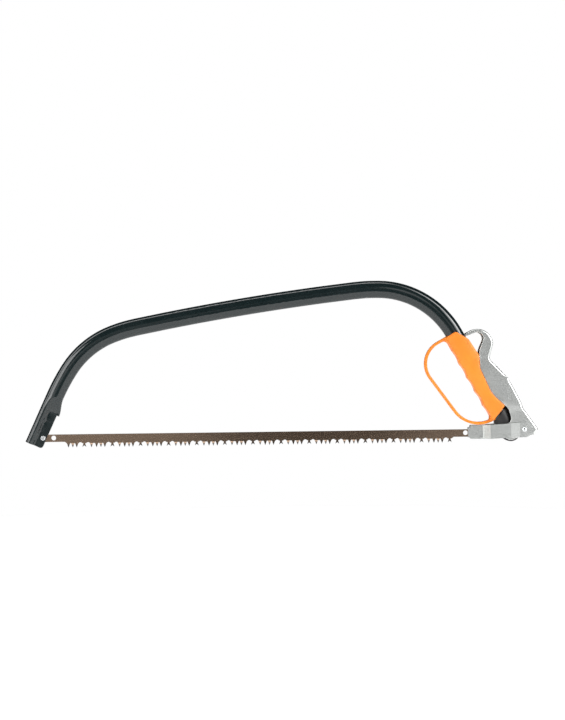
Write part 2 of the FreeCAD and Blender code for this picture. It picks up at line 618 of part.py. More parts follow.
# ---------------------------------------------------------------- tension lever
def lever_corners():
    """Silhouette of the lever, clockwise from the hook's tip round its back to the lobe."""
    lobe = LEVER_LOBE
    tip = TUBE_HEIGHT / 2 + HOOK_TIP_GAP
    return [(rear_point(143.8, tip), 1.2), (rear_point(147.8, tip + 0.2), 1.2),
            (rear_point(147.0, 41.5), 21), (rear_point(118.5, 40.8), 14), (rear_point(101.5, 23.8), 7),
            (rear_point(64.0, 33.6), 90), (rear_point(26.5, 32.2), 20), (rear_point(20.0, 30.4), 8),
            (rear_point(-16.5, 34.2), 4), (rear_point(-19.0, 25.0), 9),
            (rear_point(-lobe, 5.0), 20), (rear_point(-lobe, -lobe), lobe),
            (rear_point(lobe, -lobe), lobe - 0.2), (rear_point(lobe, 8.3), 9),
            (rear_point(29.5, 12.8), 9), (rear_point(58.0, 3.2), 40), (rear_point(97.0, 6.6), 12),
            (rear_point(118.0, 17.6), 20), (rear_point(129.5, 32.0), 8),
            (rear_point(141.3, 32.0), 8)]


def channel_block(half_top, half_bottom, reach):
    """Block as wide as the lever at each height, with the slanted flare of its cheeks."""
    low = FLARE_BOTTOM - reach
    high = FLARE_TOP + reach
    profile = [(-half_bottom, low), (-half_bottom, FLARE_BOTTOM), (-half_top, FLARE_TOP),
               (-half_top, high), (half_top, high), (half_top, FLARE_TOP),
               (half_bottom, FLARE_BOTTOM), (half_bottom, low)]
    start = PIVOT.x - reach
    wire = Part.makePolygon([Vector(start, y, z) for y, z in profile + profile[:1]])
    return Part.Face(wire).extrude(Vector(2 * reach, 0, 0))


def lever_inside_corners():
    """Hollow of the lever: the silhouette inset by the sheet at the back, open at the front."""
    inset = inset_corners(lever_corners(), LEVER_SHEET)
    back = inset[1:10]
    first = back[0][0] - REAR_OUT * 12
    open_front = [(rear_point(-30.0, 20.0), 0), (rear_point(-30.0, -30.0), 0),
                  (rear_point(80.0, -30.0), 0)]
    return [(first, 0)] + back[1:] + open_front


def make_tension_lever():
    """Pressed steel channel: web along the back, two cheeks, hook above and pivots below."""
    outside = slab(rounded_wire(lever_corners()), REACH).common(
        channel_block(LEVER_INSIDE + LEVER_SHEET, LEVER_HALF, REACH))
    inside = slab(rounded_wire(lever_inside_corners()), REACH).common(
        channel_block(LEVER_INSIDE, LEVER_FLARE_INSIDE, REACH + PAST))
    body = outside.cut(inside)
    body = body.cut(fulcrum_rivet(RUNNING)).cut(pin(LINK, LINK_RADIUS + RUNNING, -REACH, REACH))
    ribs = []
    rib_half = LEVER_INSIDE - LEVER_SHEET
    for index in range(THUMB_RIBS):
        down = THUMB_RIB_PITCH * index
        centre = rear_point(THUMB_RIB_TOP[0] - down, THUMB_RIB_TOP[1] + THUMB_RIB_SLOPE * down)
        ribs.append(pin(centre, THUMB_RIB_RADIUS, -rib_half, rib_half))
    return one_solid(body.fuse(ribs))


# ---------------------------------------------------------------- blade link
def link_corners():
    """Silhouette of the blade link, clockwise from the upper end of its folded neck."""
    neck_low, neck_high = STRAP_NECK
    plate_low = STRAP_PLATE_LOW
    plate_high = rounded_wire(guard_corners()).BoundBox.ZMin - MOVING_GAP
    fold = HOOK.x - STRAP_FRONT
    shoulder = HOOK.x - STRAP_SHOULDER
    eye = STRAP_EYE_RADIUS
    return [(Vector(fold, 0, neck_high), 0), (Vector(shoulder, 0, neck_high), STRAP_NOTCH_ROUND),
            (Vector(shoulder, 0, plate_high), STRAP_CORNER_HIGH),
            (Vector(HOOK.x + STRAP_TOP, 0, plate_high), 3),
            (Vector(LINK.x + eye, 0, LINK.z + eye), eye * 0.98),
            (Vector(LINK.x + eye, 0, LINK.z - eye), eye * 0.98),
            (Vector(HOOK.x + STRAP_LOW, 0, plate_low), 0),
            (Vector(shoulder, 0, plate_low), STRAP_CORNER_LOW),
            (Vector(shoulder, 0, neck_low), STRAP_NOTCH_ROUND), (Vector(fold, 0, neck_low), 0)]


def strap_band():
    """Plan view of the folded strap, standing tall enough to be cut to its silhouette."""
    front = STRAP_FRONT_INSIDE + STRAP
    middle = LEVER_HALF + MOVING_GAP + STRAP
    rear = EYE_INSIDE + STRAP
    jog = [HOOK.x + place for place in STRAP_JOG]
    step = [HOOK.x + place for place in STRAP_STEP]
    fold = HOOK.x - STRAP_FRONT
    end = LINK.x + STRAP_EYE_RADIUS + PAST
    outer = [(fold, front), (jog[0], front), (jog[1], middle), (step[0], middle), (step[1], rear),
             (end, rear)]
    loop = [(x, y) for x, y in outer] + [(x, -y) for x, y in reversed(outer)]
    tall = [Vector(x, y, -REACH) for x, y in loop]
    solid = Part.Face(Part.makePolygon(tall + tall[:1])).extrude(Vector(0, 0, 2 * REACH))
    shift = STRAP * math.tan(math.radians(45) / 2)
    inner = [(fold + STRAP, front - STRAP), (jog[0] + shift, front - STRAP),
             (jog[1] + shift, middle - STRAP), (step[0] + STRAP_BEND, middle - STRAP),
             (step[1] + STRAP_BEND, rear - STRAP), (end + PAST, rear - STRAP)]
    loop = [(x, y) for x, y in inner] + [(x, -y) for x, y in reversed(inner)]
    tall = [Vector(x, y, -REACH - PAST) for x, y in loop]
    hollow = Part.Face(Part.makePolygon(tall + tall[:1])).extrude(Vector(0, 0, 2 * (REACH + PAST)))
    return solid.cut(hollow)


def make_stirrup():
    """Folded strap that ties the blade's rear end to the lever."""
    body = strap_band().common(slab(rounded_wire(link_corners()), REACH))
    top = BLADE_ABOVE + SLOT_TOP
    slot = Part.makeBox(STRAP + 2 * PAST, 2 * SLOT_HALF, REACH,
                        Vector(HOOK.x - STRAP_FRONT - PAST, -SLOT_HALF, top - REACH))
    body = body.cut([slot, pin(LINK, LINK_RADIUS + RUNNING, -REACH, REACH)])
    hooks = []
    dimples = []
    for side in (-1, 1):
        low, high = sorted((side * SLOT_HALF, side * (STRAP_FRONT_INSIDE + HOOK_SINK)))
        hooks.append(pin(HOOK, HOOK_RADIUS, low, high))
        deep, face = sorted((side * (STRAP_FRONT_INSIDE + HOOK_SINK - HOOK_SKIN),
                             side * (STRAP_FRONT_INSIDE + STRAP + PAST)))
        dimples.append(pin(HOOK, HOOK_RADIUS - HOOK_DIMPLE, deep, face))
    return one_solid(body.fuse(hooks).cut(dimples))


def make_link_washers():
    """Two washers that fill the space between the lever's cheeks and the link's eyes."""
    washers = []
    for side in (-1, 1):
        low, high = sorted((side * (LEVER_HALF + RUNNING), side * (EYE_INSIDE - RUNNING)))
        ring = pin(LINK, SPACER_RADIUS + LINK_WASHER_RIM, low, high)
        washers.append(ring.cut(pin(LINK, LINK_RADIUS + RUNNING, -REACH, REACH)))
    return Part.makeCompound(washers)


def make_link_spacer():
    """Tube between the lever's cheeks that keeps them apart at the link rivet."""
    reach = LEVER_FLARE_INSIDE - RUNNING
    return pin(LINK, SPACER_RADIUS, -reach, reach).cut(pin(LINK, LINK_RADIUS + RUNNING, -REACH, REACH))


def make_link_rivet():
    """Rivet with two domed heads through the link's eyes and the lever."""
    face = EYE_INSIDE + STRAP
    body = pin(LINK, LINK_RADIUS, -face, face)
    dome = (LINK_HEAD_RADIUS ** 2 + LINK_HEAD_HEIGHT ** 2) / (2 * LINK_HEAD_HEIGHT)
    heads = []
    for side in (-1, 1):
        ball = Part.makeSphere(dome, LINK + Y_AXIS * (side * (face + LINK_HEAD_HEIGHT - dome)))
        low, high = sorted((side * face, side * (face + LINK_HEAD_HEIGHT + PAST)))
        heads.append(ball.common(pin(LINK, LINK_HEAD_RADIUS + PAST, low, high)))
    return one_solid(body.fuse(heads))


# ---------------------------------------------------------------- all pieces
PIECES = {
    "frame_tube": make_frame_tube,
    "handle_grip": make_handle_grip,
    "end_cap": make_end_cap,
    "fulcrum_bush": make_fulcrum_bush,
    "fulcrum_washers": make_fulcrum_washers,
    "fulcrum_rivet": make_fulcrum_rivet,
    "tension_lever": make_tension_lever,
    "link_spacer": make_link_spacer,
    "link_washers": make_link_washers,
    "link_rivet": make_link_rivet,
    "stirrup": make_stirrup,
    "blade": make_blade,
    "blade_screw": make_blade_screw,
    "blade_screw_washer": make_blade_screw_washer,
    "blade_screw_nut": make_blade_screw_nut,
}


def main():
    """Build every piece, centre the whole saw on zero and write one file per piece."""
    os.makedirs("parts", exist_ok=True)
    shapes = {}
    for name, make in PIECES.items():
        shapes[name] = make()
    centre = Part.makeCompound(list(shapes.values())).BoundBox.Center
    for name, shape in shapes.items():
        shape.translate(centre * -1)
        shape.exportStep("parts/" + name + ".step")
    box = Part.makeCompound(list(shapes.values())).BoundBox
    print("box", box)
    for label, point in (("front hole", Vector(0, 0, 0)), ("hook", HOOK), ("fulcrum", PIVOT),
                         ("link", LINK), ("grip", rear_point(90, 0))):
        print(label, point - centre)


main()
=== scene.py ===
"""Bow saw: finished pieces, surface finishes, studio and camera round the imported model.

Every length is in metres. X runs along the blade from the nose to the grip, Y is the saw's
thickness and Z is up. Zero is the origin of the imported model, near the middle of its box.
"""
import logging
import math
from dataclasses import dataclass, field
from enum import Enum
from typing import ClassVar

import bmesh
import bpy
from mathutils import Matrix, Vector


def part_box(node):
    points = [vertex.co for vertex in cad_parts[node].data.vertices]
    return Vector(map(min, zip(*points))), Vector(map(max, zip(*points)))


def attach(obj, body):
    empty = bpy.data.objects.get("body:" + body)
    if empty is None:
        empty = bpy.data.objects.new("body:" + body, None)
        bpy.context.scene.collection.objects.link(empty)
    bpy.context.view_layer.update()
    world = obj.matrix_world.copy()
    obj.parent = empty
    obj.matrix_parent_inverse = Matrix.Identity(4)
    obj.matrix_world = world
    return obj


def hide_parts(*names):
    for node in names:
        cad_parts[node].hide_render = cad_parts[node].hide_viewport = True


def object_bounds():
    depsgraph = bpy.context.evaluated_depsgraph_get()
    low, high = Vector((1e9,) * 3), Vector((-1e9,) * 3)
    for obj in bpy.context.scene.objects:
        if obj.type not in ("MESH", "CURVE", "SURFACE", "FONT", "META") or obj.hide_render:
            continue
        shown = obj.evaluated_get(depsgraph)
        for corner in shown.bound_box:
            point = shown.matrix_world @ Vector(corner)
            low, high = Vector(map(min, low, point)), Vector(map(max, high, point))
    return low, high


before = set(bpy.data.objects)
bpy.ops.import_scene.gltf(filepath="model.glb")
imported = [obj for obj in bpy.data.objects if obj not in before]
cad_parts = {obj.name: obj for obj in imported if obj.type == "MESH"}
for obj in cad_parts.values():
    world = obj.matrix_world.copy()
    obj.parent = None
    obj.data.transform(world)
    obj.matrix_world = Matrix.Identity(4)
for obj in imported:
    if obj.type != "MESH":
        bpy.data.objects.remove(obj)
CAD_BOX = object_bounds()

log = logging.getLogger("bow_saw")

MM = 0.001
REAR_LEG_ANGLE = math.radians(61.0)
GULLET_DEPTH = 7.6 * MM


class Body(Enum):
    """The bodies that move against each other."""

    FRAME = "frame"
    LEVER = "lever"
    LINK = "link"
    BLADE = "blade"


class Slot(Enum):
    """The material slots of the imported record."""

    TUBE_PAINT = "tube_paint"
    GRIP_PLASTIC = "grip_plastic"
    CAP_PLASTIC = "cap_plastic"
    ZINC_SHEET = "zinc_sheet"
    BLADE_STEEL = "blade_steel"
    BRIGHT_STEEL = "bright_steel"
    BUSH_STEEL = "bush_steel"


def middle(node: str) -> Vector:
    """Centre of a CAD node's box.

    Args:
        node: name of the CAD node.

    Returns:
        The centre, in metres.
    """
    low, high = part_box(node)
    return (low + high) / 2


def srgb(red: float, green: float, blue: float) -> tuple[float, float, float, float]:
    """Linear colour of display values between 0 and 1.

    Args:
        red: display value of red.
        green: display value of green.
        blue: display value of blue.

    Returns:
        Linear red, green, blue and an alpha of 1.
    """
    shares = (red, green, blue)
    return tuple(c / 12.92 if c <= 0.04045 else ((c + 0.055) / 1.055) ** 2.4 for c in shares) + (1.0,)


# ---------------------------------------------------------------- node trees
class NodeBench:
    """Adds nodes to one tree and wires them."""

    def __init__(self, tree: bpy.types.NodeTree) -> None:
        """Keep the tree that the nodes go into."""
        self.tree = tree

    def feed(self, socket: bpy.types.NodeSocket, value: object) -> None:
        """Link a socket to another one, or set its value.

        Args:
            socket: the input to fill.
            value: an output socket, a number, or a colour or vector.
        """
        if isinstance(value, bpy.types.NodeSocket):
            self.tree.links.new(value, socket)
        else:
            socket.default_value = value

    def add(
        self, kind: str, inputs: dict[str | int, object] | None = None, **settings: object
    ) -> bpy.types.Node:
        """Add one node.

        Args:
            kind: the node's type name.
            inputs: values or sockets for its inputs, by name or place.
            **settings: the node's own properties.

        Returns:
            The new node.
        """
        made = self.tree.nodes.new(kind)
        for name, value in settings.items():
            setattr(made, name, value)
        for name, value in (inputs or {}).items():
            self.feed(made.inputs[name], value)
        return made

    def math(self, operation: str, *values: object, clamp: bool = False) -> bpy.types.NodeSocket:
        """Add a Math node and return its output.

        Args:
            operation: the node's operation.
            *values: its operands, as numbers or sockets.
            clamp: whether the result is held between 0 and 1.

        Returns:
            The result's socket.
        """
        made = self.add("ShaderNodeMath", dict(enumerate(values)), operation=operation, use_clamp=clamp)
        return made.outputs[0]

    def ramp(
        self, value: object, start: float, end: float, low: float = 0.0, high: float = 1.0
    ) -> bpy.types.NodeSocket:
        """Soft step of a value.

        Args:
            value: the value that drives the step.
            start: where the step starts.
            end: where it ends.
            low: result before the start.
            high: result after the end.

        Returns:
            The result's socket.
        """
        inputs = {"Value": value, "From Min": start, "From Max": end, "To Min": low, "To Max": high}
        return self.add("ShaderNodeMapRange", inputs, interpolation_type="SMOOTHSTEP").outputs[0]

    def noise(
        self, vector: object, scale: object, detail: float = 4.0, roughness: float = 0.55
    ) -> bpy.types.NodeSocket:
        """Fractal noise between 0 and 1.

        Args:
            vector: the place it is read at.
            scale: waves in a metre.
            detail: number of finer layers.
            roughness: strength of the finer layers.

        Returns:
            The noise value's socket.
        """
        inputs = {"Vector": vector, "Scale": scale, "Detail": detail, "Roughness": roughness}
        return self.add("ShaderNodeTexNoise", inputs).outputs[0]

    def blend(self, share: object, first: object, second: object) -> bpy.types.NodeSocket:
        """Mix two colours.

        Args:
            share: share of the second colour.
            first: first colour or socket.
            second: second colour or socket.

        Returns:
            The mixed colour's socket.
        """
        made = self.add("ShaderNodeMix", data_type="RGBA")
        for place, value in ((0, share), (6, first), (7, second)):
            self.feed(made.inputs[place], value)
        return made.outputs[2]

    def place(self) -> bpy.types.NodeSocket:
        """Return the object coordinates."""
        return self.add("ShaderNodeTexCoord").outputs["Object"]


class Effect(Enum):
    """Surface effects that more than one finish uses."""

    EDGE_WEAR = "edge_wear"
    MOULD_GRAIN = "mould_grain"
    ROLLED_SHEET = "rolled_sheet"
    HANDLING = "handling_marks"
    SCRATCHES = "fine_scratches"


@dataclass
class EffectLibrary:
    """Builds each shared effect once, as a node group."""

    built: dict[Effect, bpy.types.NodeTree] = field(default_factory=dict)

    def group(self, effect: Effect) -> bpy.types.NodeTree:
        """Return an effect's group, building it at its first use.

        Args:
            effect: the effect wanted.

        Returns:
            Its node group.
        """
        if effect not in self.built:
            makers = {
                Effect.EDGE_WEAR: self.make_edge_wear,
                Effect.MOULD_GRAIN: self.make_mould_grain,
                Effect.ROLLED_SHEET: self.make_rolled_sheet,
                Effect.HANDLING: self.make_handling,
                Effect.SCRATCHES: self.make_scratches,
            }
            self.built[effect] = makers[effect]()
        return self.built[effect]

    def use(self, bench: NodeBench, effect: Effect, inputs: dict[str, object]) -> bpy.types.Node:
        """Place an effect in a material.

        Args:
            bench: the material's nodes.
            effect: the effect wanted.
            inputs: its values, by name.

        Returns:
            The group node.
        """
        made = bench.add("ShaderNodeGroup", node_tree=self.group(effect))
        for name, value in inputs.items():
            bench.feed(made.inputs[name], value)
        return made

    @staticmethod
    def start(
        name: str, takes: dict[str, str], gives: dict[str, str]
    ) -> tuple[NodeBench, bpy.types.Node, bpy.types.Node]:
        """Make an empty group with named sockets.

        Args:
            name: the group's name.
            takes: socket type of each input, by name.
            gives: socket type of each output, by name.

        Returns:
            The bench, the input node and the output node.
        """
        tree = bpy.data.node_groups.new(name, "ShaderNodeTree")
        for label, kind in takes.items():
            tree.interface.new_socket(name=label, in_out="INPUT", socket_type=kind)
        for label, kind in gives.items():
            tree.interface.new_socket(name=label, in_out="OUTPUT", socket_type=kind)
        bench = NodeBench(tree)
        return bench, bench.add("NodeGroupInput"), bench.add("NodeGroupOutput")

    def make_edge_wear(self) -> bpy.types.NodeTree:
        """Make the mask of rubbed edges: wide where the surface turns sharply, broken up by noise."""
        bench, given, result = self.start(
            Effect.EDGE_WEAR.value,
            {"Reach": "NodeSocketFloat", "Breakup": "NodeSocketFloat", "Amount": "NodeSocketFloat"},
            {"Mask": "NodeSocketFloat"},
        )
        rounded = bench.add("ShaderNodeBevel", {"Radius": given.outputs["Reach"]}, samples=6)
        flat = bench.add("ShaderNodeNewGeometry")
        turned = bench.add(
            "ShaderNodeVectorMath",
            {0: rounded.outputs[0], 1: flat.outputs["Normal"]},
            operation="DOT_PRODUCT",
        )
        edge = bench.math("SUBTRACT", 1.0, turned.outputs["Value"])
        patches = bench.noise(bench.place(), given.outputs["Breakup"], detail=5.0)
        strength = bench.math("MULTIPLY", bench.ramp(edge, 0.015, 0.16), bench.ramp(patches, 0.35, 0.62))
        mask = bench.math("MULTIPLY", strength, given.outputs["Amount"], clamp=True)
        bench.feed(result.inputs["Mask"], mask)
        return bench.tree

    def make_mould_grain(self) -> bpy.types.NodeTree:
        """Make the pebbled grain of an eroded mould."""
        bench, given, result = self.start(
            Effect.MOULD_GRAIN.value,
            {"Pitch": "NodeSocketFloat"},
            {"Height": "NodeSocketFloat", "Tone": "NodeSocketFloat"},
        )
        place = bench.place()
        pebble = bench.add(
            "ShaderNodeTexVoronoi",
            {"Vector": place, "Scale": given.outputs["Pitch"], "Smoothness": 0.6},
            feature="SMOOTH_F1",
        )
        fine = bench.noise(place, bench.math("MULTIPLY", given.outputs["Pitch"], 2.3), detail=2.0)
        coarse = bench.math("MULTIPLY", pebble.outputs["Distance"], 0.7)
        height = bench.math("ADD", coarse, bench.math("MULTIPLY", fine, 0.3))
        bench.feed(result.inputs["Height"], height)
        bench.feed(result.inputs["Tone"], bench.noise(place, 22.0, detail=3.0))
        return bench.tree

    def make_rolled_sheet(self) -> bpy.types.NodeTree:
        """Make the drawn-out streaks and the faint spangle of rolled, plated sheet."""
        bench, given, result = self.start(
            Effect.ROLLED_SHEET.value,
            {"Turn": "NodeSocketVector", "Stretch": "NodeSocketVector"},
            {"Streak": "NodeSocketFloat", "Spangle": "NodeSocketFloat"},
        )
        place = bench.place()
        drawn = bench.add(
            "ShaderNodeMapping",
            {"Vector": place, "Rotation": given.outputs["Turn"], "Scale": given.outputs["Stretch"]},
        )
        streak = bench.noise(drawn.outputs[0], 1.0, detail=6.0, roughness=0.65)
        spangle = bench.add("ShaderNodeTexVoronoi", {"Vector": place, "Scale": 310.0}, feature="F1")
        bench.feed(result.inputs["Streak"], streak)
        bench.feed(result.inputs["Spangle"], spangle.outputs["Color"])
        return bench.tree

    def make_handling(self) -> bpy.types.NodeTree:
        """Make soft cloudy marks left by hands and dust."""
        bench, given, result = self.start(
            Effect.HANDLING.value,
            {"Size": "NodeSocketFloat", "Amount": "NodeSocketFloat"},
            {"Mask": "NodeSocketFloat"},
        )
        place = bench.place()
        cloud = bench.ramp(bench.noise(place, given.outputs["Size"], detail=6.0, roughness=0.6), 0.38, 0.7)
        speck = bench.ramp(bench.noise(place, 900.0, detail=1.0), 0.6, 0.78)
        both = bench.math("ADD", bench.math("MULTIPLY", cloud, 0.75), bench.math("MULTIPLY", speck, 0.25))
        bench.feed(result.inputs["Mask"], bench.math("MULTIPLY", both, given.outputs["Amount"], clamp=True))
        return bench.tree

    def make_scratches(self) -> bpy.types.NodeTree:
        """Make thin scratches in two directions."""
        bench, given, result = self.start(
            Effect.SCRATCHES.value,
            {"Turn": "NodeSocketVector", "Amount": "NodeSocketFloat"},
            {"Mask": "NodeSocketFloat"},
        )
        place = bench.place()
        lines = []
        for lean, stretch in ((0.12, (38.0, 60.0, 1500.0)), (-0.35, (55.0, 60.0, 1900.0))):
            turn = bench.add(
                "ShaderNodeVectorMath", {0: given.outputs["Turn"], 1: (0.0, lean, 0.0)}, operation="ADD"
            )
            drawn = bench.add(
                "ShaderNodeMapping", {"Vector": place, "Rotation": turn.outputs[0], "Scale": stretch}
            )
            lines.append(bench.ramp(bench.noise(drawn.outputs[0], 1.0, detail=1.0), 0.7, 0.78))
        both = bench.math("MAXIMUM", *lines)
        bench.feed(result.inputs["Mask"], bench.math("MULTIPLY", both, given.outputs["Amount"], clamp=True))
        return bench.tree


# ---------------------------------------------------------------- finishes
@dataclass(frozen=True)
class Finish:
    """What every surface finish shares.

    Attributes:
        name: the material's name.
        effects: the shared effects.
    """

    name: str
    effects: EffectLibrary

    def begin(self) -> tuple[bpy.types.Material, NodeBench, bpy.types.Node]:
        """Make an empty material with a Principled shader.

        Returns:
            The material, its nodes and the shader.
        """
        material = bpy.data.materials.new(self.name)
        material.use_nodes = True
        material.node_tree.nodes.clear()
        bench = NodeBench(material.node_tree)
        shader = bench.add("ShaderNodeBsdfPrincipled")
        bench.add("ShaderNodeOutputMaterial", {"Surface": shader.outputs[0]})
        return material, bench, shader

    def bump(self, bench: NodeBench, height: object, strength: float, depth: float) -> bpy.types.NodeSocket:
        """Turn a height into a normal.

        Args:
            bench: the material's nodes.
            height: the height's socket.
            strength: share of the effect.
            depth: height of a full step, in metres.

        Returns:
            The normal's socket.
        """
        inputs = {"Height": height, "Strength": strength, "Distance": depth}
        return bench.add("ShaderNodeBump", inputs).outputs[0]


@dataclass(frozen=True)
class GlossPaint(Finish):
    """Black stoved gloss paint over steel, with a trace of orange peel."""

    deep: tuple = srgb(0.07, 0.11, 0.115)
    worn: tuple = srgb(0.26, 0.27, 0.27)
    gloss: float = 0.1
    coat: float = 0.25

    def make(self) -> bpy.types.Material:
        """Return the material."""
        material, bench, shader = self.begin()
        rubbing = {"Reach": 0.3 * MM, "Breakup": 260.0, "Amount": 0.35}
        wear = self.effects.use(bench, Effect.EDGE_WEAR, rubbing)
        marks = self.effects.use(bench, Effect.HANDLING, {"Size": 28.0, "Amount": 1.0})
        lines = self.effects.use(bench, Effect.SCRATCHES, {"Turn": (0.0, 0.12, 0.0), "Amount": 0.35})
        tint = bench.blend(bench.math("MULTIPLY", marks.outputs["Mask"], 0.06), self.deep, self.worn)
        bench.feed(shader.inputs["Base Color"], bench.blend(wear.outputs["Mask"], tint, self.worn))
        bench.feed(shader.inputs["Metallic"], bench.math("MULTIPLY", wear.outputs["Mask"], 0.8))
        rough = bench.math("MULTIPLY_ADD", marks.outputs["Mask"], 0.05, self.gloss)
        rough = bench.math("MULTIPLY_ADD", lines.outputs["Mask"], 0.12, rough)
        bench.feed(shader.inputs["Roughness"], rough)
        peel = bench.noise(bench.place(), 260.0, detail=1.0, roughness=0.4)
        bench.feed(shader.inputs["Normal"], self.bump(bench, peel, 0.1, 0.05 * MM))
        shader.inputs["Specular IOR Level"].default_value = 0.5
        shader.inputs["Coat Weight"].default_value = self.coat
        shader.inputs["Coat Roughness"].default_value = 0.05
        return material


@dataclass(frozen=True)
class MouldedPlastic(Finish):
    """Injection-moulded plastic with the grain of its mould."""

    colour: tuple = srgb(0.94, 0.535, 0.13)
    shade: tuple = srgb(0.915, 0.5, 0.11)
    rubbed: tuple = srgb(0.985, 0.66, 0.33)
    rough: float = 0.42
    pitch: float = 1150.0
    grain: float = 0.3
    glow: float = 0.04

    def make(self) -> bpy.types.Material:
        """Return the material."""
        material, bench, shader = self.begin()
        grain = self.effects.use(bench, Effect.MOULD_GRAIN, {"Pitch": self.pitch})
        rubbing = {"Reach": 0.9 * MM, "Breakup": 140.0, "Amount": 0.6}
        wear = self.effects.use(bench, Effect.EDGE_WEAR, rubbing)
        marks = self.effects.use(bench, Effect.HANDLING, {"Size": 36.0, "Amount": 1.0})
        tone = bench.blend(bench.ramp(grain.outputs["Tone"], 0.32, 0.68), self.shade, self.colour)
        tone = bench.blend(bench.math("MULTIPLY", wear.outputs["Mask"], 0.6), tone, self.rubbed)
        bench.feed(shader.inputs["Base Color"], tone)
        rough = bench.math("MULTIPLY_ADD", marks.outputs["Mask"], 0.14, self.rough)
        bench.feed(shader.inputs["Roughness"], rough)
        bench.feed(shader.inputs["Normal"], self.bump(bench, grain.outputs["Height"], self.grain, 0.08 * MM))
        shader.inputs["Subsurface Weight"].default_value = self.glow
        shader.inputs["Subsurface Radius"].default_value = (1.0 * MM, 0.5 * MM, 0.2 * MM)
        shader.inputs["Subsurface Scale"].default_value = 1.0
        return material


@dataclass(frozen=True)
class ZincSheet(Finish):
    """Pressed steel sheet with a dull zinc plating, bright where it was bent or rubbed."""

    plating: tuple = srgb(0.9, 0.91, 0.9)
    dull: tuple = srgb(0.86, 0.87, 0.86)
    bright: tuple = srgb(0.94, 0.955, 0.96)
    rough: float = 0.2
    metal: float = 0.92
    turn: tuple = (0.0, 0.0, 0.0)

    def make(self) -> bpy.types.Material:
        """Return the material."""
        material, bench, shader = self.begin()
        sheet = self.effects.use(
            bench, Effect.ROLLED_SHEET, {"Turn": self.turn, "Stretch": (24.0, 120.0, 420.0)}
        )
        rubbing = {"Reach": 0.7 * MM, "Breakup": 320.0, "Amount": 0.6}
        wear = self.effects.use(bench, Effect.EDGE_WEAR, rubbing)
        marks = self.effects.use(bench, Effect.HANDLING, {"Size": 60.0, "Amount": 1.0})
        lines = self.effects.use(bench, Effect.SCRATCHES, {"Turn": self.turn, "Amount": 0.3})
        tone = bench.blend(bench.ramp(sheet.outputs["Streak"], 0.15, 0.85), self.dull, self.plating)
        tone = bench.blend(bench.math("MULTIPLY", sheet.outputs["Spangle"], 0.08), tone, self.bright)
        tone = bench.blend(bench.math("MULTIPLY", marks.outputs["Mask"], 0.22), tone, self.dull)
        bench.feed(shader.inputs["Base Color"], bench.blend(wear.outputs["Mask"], tone, self.bright))
        rough = bench.math("MULTIPLY_ADD", sheet.outputs["Streak"], 0.06, self.rough)
        rough = bench.math("MULTIPLY_ADD", wear.outputs["Mask"], -0.08, rough)
        rough = bench.math("MULTIPLY_ADD", marks.outputs["Mask"], 0.03, rough)
        bench.feed(shader.inputs["Roughness"], rough)
        cuts = bench.math("MULTIPLY", lines.outputs["Mask"], -0.5)
        height = bench.math("ADD", sheet.outputs["Streak"], cuts)
        bench.feed(shader.inputs["Normal"], self.bump(bench, height, 0.05, 0.02 * MM))
        shader.inputs["Metallic"].default_value = self.metal
        return material


@dataclass(frozen=True)
class BladeLacquer(Finish):
    """Brown lacquer over hardened strip, ground to bright steel at the teeth.

    Attributes:
        gullet: height of the tooth roots.
        tips: height of the tooth tips.
    """

    gullet: float
    tips: float
    brown: tuple = srgb(0.735, 0.635, 0.55)
    umber: tuple = srgb(0.71, 0.61, 0.525)
    ground: tuple = srgb(0.36, 0.345, 0.33)
    rough: float = 0.1
    metal: float = 0.95

    def make(self) -> bpy.types.Material:
        """Return the material."""
        material, bench, shader = self.begin()
        place = bench.place()
        height = bench.add("ShaderNodeSeparateXYZ", {0: place}).outputs["Z"]
        sheet = self.effects.use(
            bench, Effect.ROLLED_SHEET, {"Turn": (0.0, 0.0, 0.0), "Stretch": (9.0, 100.0, 900.0)}
        )
        lines = self.effects.use(bench, Effect.SCRATCHES, {"Turn": (0.0, 0.0, 0.0), "Amount": 0.25})
        rubbing = {"Reach": 0.3 * MM, "Breakup": 420.0, "Amount": 0.4}
        wear = self.effects.use(bench, Effect.EDGE_WEAR, rubbing)
        marks = self.effects.use(bench, Effect.HANDLING, {"Size": 22.0, "Amount": 1.0})
        ragged = bench.math("MULTIPLY_ADD", bench.noise(place, 700.0, detail=3.0), 1.2 * MM, height)
        teeth = bench.ramp(ragged, self.gullet, self.gullet - 0.45 * (self.gullet - self.tips), 0.0, 1.0)
        coat = bench.blend(bench.ramp(sheet.outputs["Streak"], 0.3, 0.7), self.umber, self.brown)
        coat = bench.blend(bench.math("MULTIPLY", marks.outputs["Mask"], 0.25), coat, self.umber)
        bare = bench.math("MAXIMUM", teeth, bench.math("MULTIPLY", wear.outputs["Mask"], 0.6))
        tone = bench.blend(bare, coat, self.ground)
        bench.feed(shader.inputs["Base Color"], bench.blend(lines.outputs["Mask"], tone, self.ground))
        rough = bench.math("MULTIPLY_ADD", sheet.outputs["Streak"], 0.05, self.rough)
        rough = bench.math("MULTIPLY_ADD", bare, 0.14, rough)
        bench.feed(shader.inputs["Roughness"], rough)
        bench.feed(shader.inputs["Normal"], self.bump(bench, sheet.outputs["Streak"], 0.04, 0.01 * MM))
        shader.inputs["Metallic"].default_value = self.metal
        shader.inputs["Coat Weight"].default_value = 0.12
        shader.inputs["Coat Roughness"].default_value = 0.12
        return material


